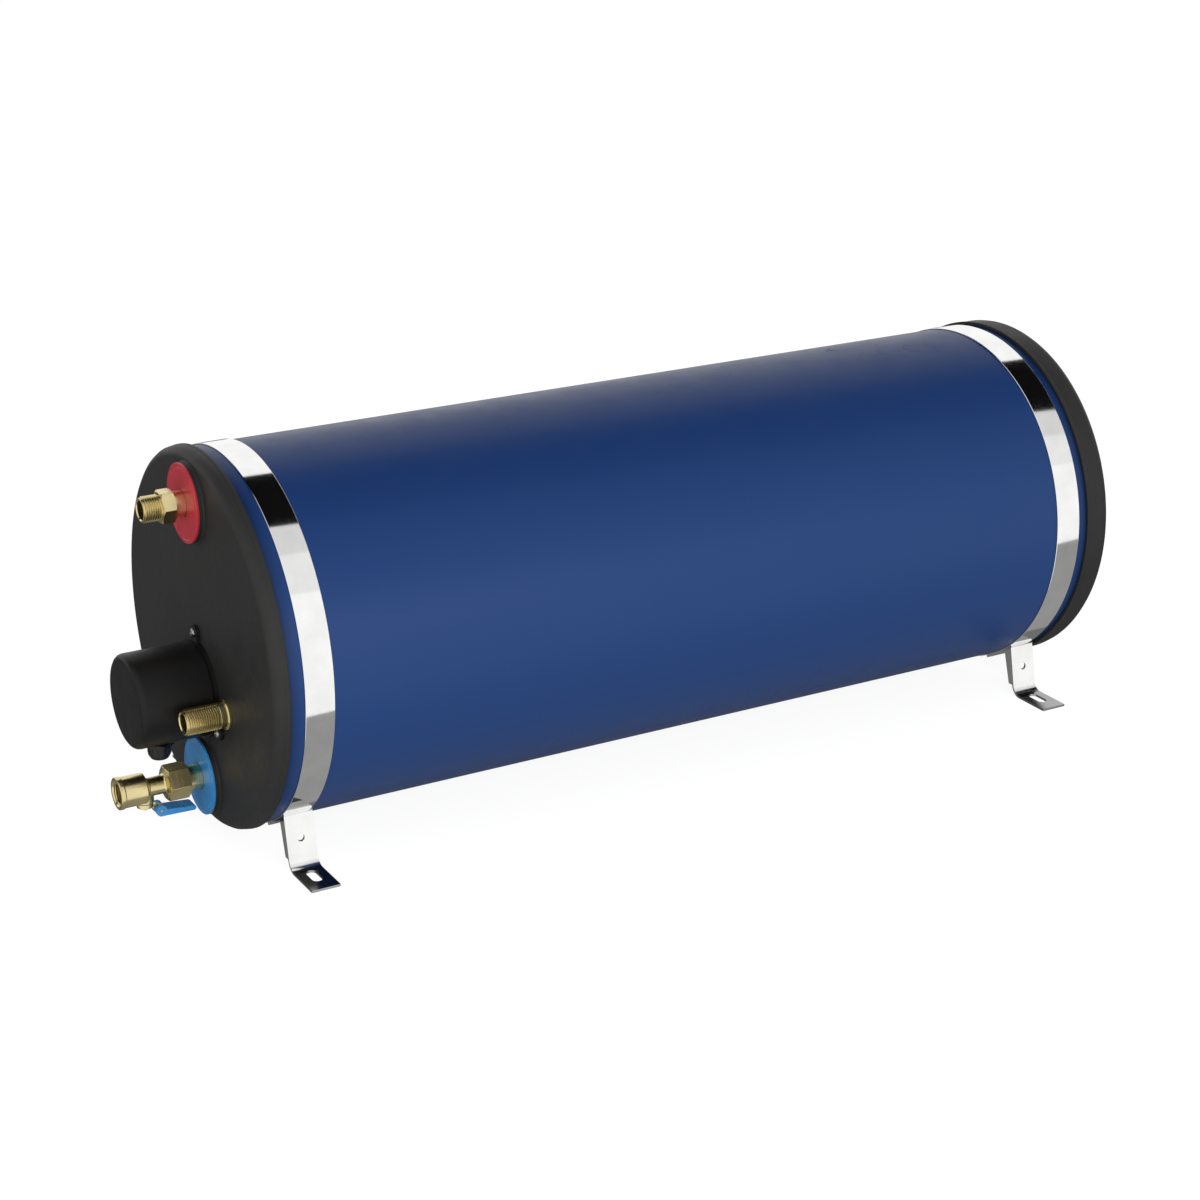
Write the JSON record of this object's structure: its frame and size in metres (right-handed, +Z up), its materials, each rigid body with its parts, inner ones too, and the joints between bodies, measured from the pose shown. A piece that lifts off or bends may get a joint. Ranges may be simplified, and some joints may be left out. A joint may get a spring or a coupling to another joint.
{
  "type": "horizontal marine water heater",
  "caption": "Horizontal insulated marine water heater with black end caps, two bands on slotted feet, brass pipe nipples, an element cover and a safety valve with a hinged lever.",
  "frame": {"origin": "on the floor plane under the middle of the whole heater's box", "axes": "X along the tank with the fittings at -X, Y across it, Z up from the feet"},
  "size_m": [0.8626, 0.305, 0.3145],
  "materials": {
    "blue_paint": "gloss",
    "black_plastic": "satin",
    "stainless": "polished",
    "rivet_steel": "satin",
    "brass": "satin",
    "red_plastic": "satin",
    "blue_plastic": "satin"
  },
  "bodies": {
    "heater": {"jacket": "blue_paint", "front_cap": "black_plastic", "rear_cap": "black_plastic", "front_band": "stainless", "rear_band": "stainless", "front_right_foot": "stainless", "front_left_foot": "stainless", "rear_right_foot": "stainless", "rear_left_foot": "stainless", "front_right_rivet": "rivet_steel", "front_left_rivet": "rivet_steel", "rear_right_rivet": "rivet_steel", "rear_left_rivet": "rivet_steel", "hot_outlet_disc": "red_plastic", "hot_outlet_nipple": "brass", "cold_inlet_disc": "blue_plastic", "cold_inlet_nipple": "brass", "right_coil_nipple": "brass", "left_coil_nipple": "brass", "cover_base": "black_plastic", "element_cover": "black_plastic", "gland_body": "black_plastic", "gland_nut": "black_plastic", "cover_screw_1": "rivet_steel", "cover_screw_2": "rivet_steel", "cover_screw_3": "rivet_steel", "valve_body": "brass", "valve_bonnet": "brass", "valve_spindle": "brass", "lever_pin": "rivet_steel"},
    "lever": {"relief_lever": "blue_plastic"}
  },
  "joints": [
    {"name": "lever_hinge", "type": "hinge", "parent": "heater", "child": "lever", "pos_m": [-0.39725, 0, 0.027], "axis": [0, 1, 0], "range_deg": [0, 35], "stiffness_Nm_per_rad": 0.3, "springref_deg": -8.59}
  ]
}
